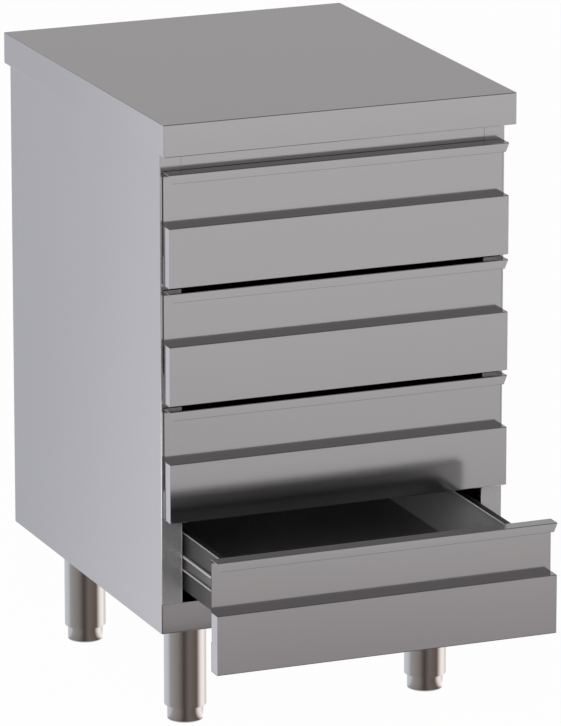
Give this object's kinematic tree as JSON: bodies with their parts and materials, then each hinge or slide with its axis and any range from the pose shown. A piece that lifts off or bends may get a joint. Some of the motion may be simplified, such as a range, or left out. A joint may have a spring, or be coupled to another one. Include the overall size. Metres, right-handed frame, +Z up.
{
  "type": "drawer cabinet",
  "caption": "Free-standing stainless cabinet: a stack of full-overlay drawers with folded pull lips on ball-bearing slides, under a skirted worktop, on round legs with screw feet.",
  "frame": {"origin": "on the floor, under the middle of the whole box with the lowest drawer open as pictured", "axes": "+Z up, -Y the side that the drawers open to, +X to the right when facing the drawers"},
  "size_m": [0.5, 0.7612, 0.85],
  "materials": {
    "steel": "fine brushed stainless steel sheet, softly reflective",
    "leg_steel": "polished stainless steel tube",
    "slide_steel": "plain rolled steel channel",
    "zinc": "zinc plated",
    "core_board": "raw board"
  },
  "bodies": {
    "cabinet": {"worktop": "steel", "worktop_core": "core_board", "worktop_screw_1": "zinc", "worktop_screw_2": "zinc", "worktop_screw_3": "zinc", "worktop_screw_4": "zinc", "base_pan": "steel", "back_panel": "steel", "front_top_rail": "steel", "rear_top_rail": "steel", "side_panel_left": "steel", "side_panel_right": "steel", "slide_upright_front_left": "steel", "slide_upright_rear_left": "steel", "slide_upright_front_right": "steel", "slide_upright_rear_right": "steel", "leg_front_left": "leg_steel", "leg_front_right": "leg_steel", "leg_back_left": "leg_steel", "leg_back_right": "leg_steel", "leg_bolt_front_left": "zinc", "leg_bolt_front_right": "zinc", "leg_bolt_back_left": "zinc", "leg_bolt_back_right": "zinc", "slide_outer_left_1": "slide_steel", "slide_outer_right_1": "slide_steel", "slide_outer_left_2": "slide_steel", "slide_outer_right_2": "slide_steel", "slide_outer_left_3": "slide_steel", "slide_outer_right_3": "slide_steel", "slide_outer_left_4": "slide_steel", "slide_outer_right_4": "slide_steel"},
    "drawer_1": {"drawer_front_1": "steel", "drawer_tray_1": "steel", "slide_inner_left_1": "slide_steel", "slide_inner_right_1": "slide_steel"},
    "ball_cages_1": {"ball_cage_left_1": "zinc", "ball_cage_right_1": "zinc"},
    "drawer_2": {"drawer_front_2": "steel", "drawer_tray_2": "steel", "slide_inner_left_2": "slide_steel", "slide_inner_right_2": "slide_steel"},
    "ball_cages_2": {"ball_cage_left_2": "zinc", "ball_cage_right_2": "zinc"},
    "drawer_3": {"drawer_front_3": "steel", "drawer_tray_3": "steel", "slide_inner_left_3": "slide_steel", "slide_inner_right_3": "slide_steel"},
    "ball_cages_3": {"ball_cage_left_3": "zinc", "ball_cage_right_3": "zinc"},
    "drawer_4": {"drawer_front_4": "steel", "drawer_tray_4": "steel", "slide_inner_left_4": "slide_steel", "slide_inner_right_4": "slide_steel"},
    "ball_cages_4": {"ball_cage_left_4": "zinc", "ball_cage_right_4": "zinc"},
    "foot_front_left": {"foot_front_left": "leg_steel"},
    "foot_front_right": {"foot_front_right": "leg_steel"},
    "foot_back_left": {"foot_back_left": "leg_steel"},
    "foot_back_right": {"foot_back_right": "leg_steel"}
  },
  "joints": [
    {"name": "drawer_1_slide", "type": "slide", "parent": "cabinet", "child": "drawer_1", "axis": [0, -1, 0], "range_m": [0, 0.36]},
    {"name": "ball_cages_1_roll", "type": "slide", "parent": "cabinet", "child": "ball_cages_1", "axis": [0, -1, 0], "range_m": [0, 0.18]},
    {"name": "drawer_2_slide", "type": "slide", "parent": "cabinet", "child": "drawer_2", "axis": [0, -1, 0], "range_m": [0, 0.36]},
    {"name": "ball_cages_2_roll", "type": "slide", "parent": "cabinet", "child": "ball_cages_2", "axis": [0, -1, 0], "range_m": [0, 0.18]},
    {"name": "drawer_3_slide", "type": "slide", "parent": "cabinet", "child": "drawer_3", "axis": [0, -1, 0], "range_m": [0, 0.36]},
    {"name": "ball_cages_3_roll", "type": "slide", "parent": "cabinet", "child": "ball_cages_3", "axis": [0, -1, 0], "range_m": [0, 0.18]},
    {"name": "drawer_4_slide", "type": "slide", "parent": "cabinet", "child": "drawer_4", "axis": [0, -1, 0], "range_m": [-0.165, 0.195]},
    {"name": "ball_cages_4_roll", "type": "slide", "parent": "cabinet", "child": "ball_cages_4", "axis": [0, -1, 0], "range_m": [-0.0825, 0.0975]},
    {"name": "foot_front_left_screw", "type": "slide", "parent": "cabinet", "child": "foot_front_left", "axis": [0, 0, -1], "range_m": [0, 0.03]},
    {"name": "foot_front_right_screw", "type": "slide", "parent": "cabinet", "child": "foot_front_right", "axis": [0, 0, -1], "range_m": [0, 0.03]},
    {"name": "foot_back_left_screw", "type": "slide", "parent": "cabinet", "child": "foot_back_left", "axis": [0, 0, -1], "range_m": [0, 0.03]},
    {"name": "foot_back_right_screw", "type": "slide", "parent": "cabinet", "child": "foot_back_right", "axis": [0, 0, -1], "range_m": [0, 0.03]}
  ],
  "couplings": [
    {"joint": "ball_cages_1_roll", "follows": "drawer_1_slide", "ratio": 0.5},
    {"joint": "ball_cages_2_roll", "follows": "drawer_2_slide", "ratio": 0.5},
    {"joint": "ball_cages_3_roll", "follows": "drawer_3_slide", "ratio": 0.5},
    {"joint": "ball_cages_4_roll", "follows": "drawer_4_slide", "ratio": 0.5}
  ]
}
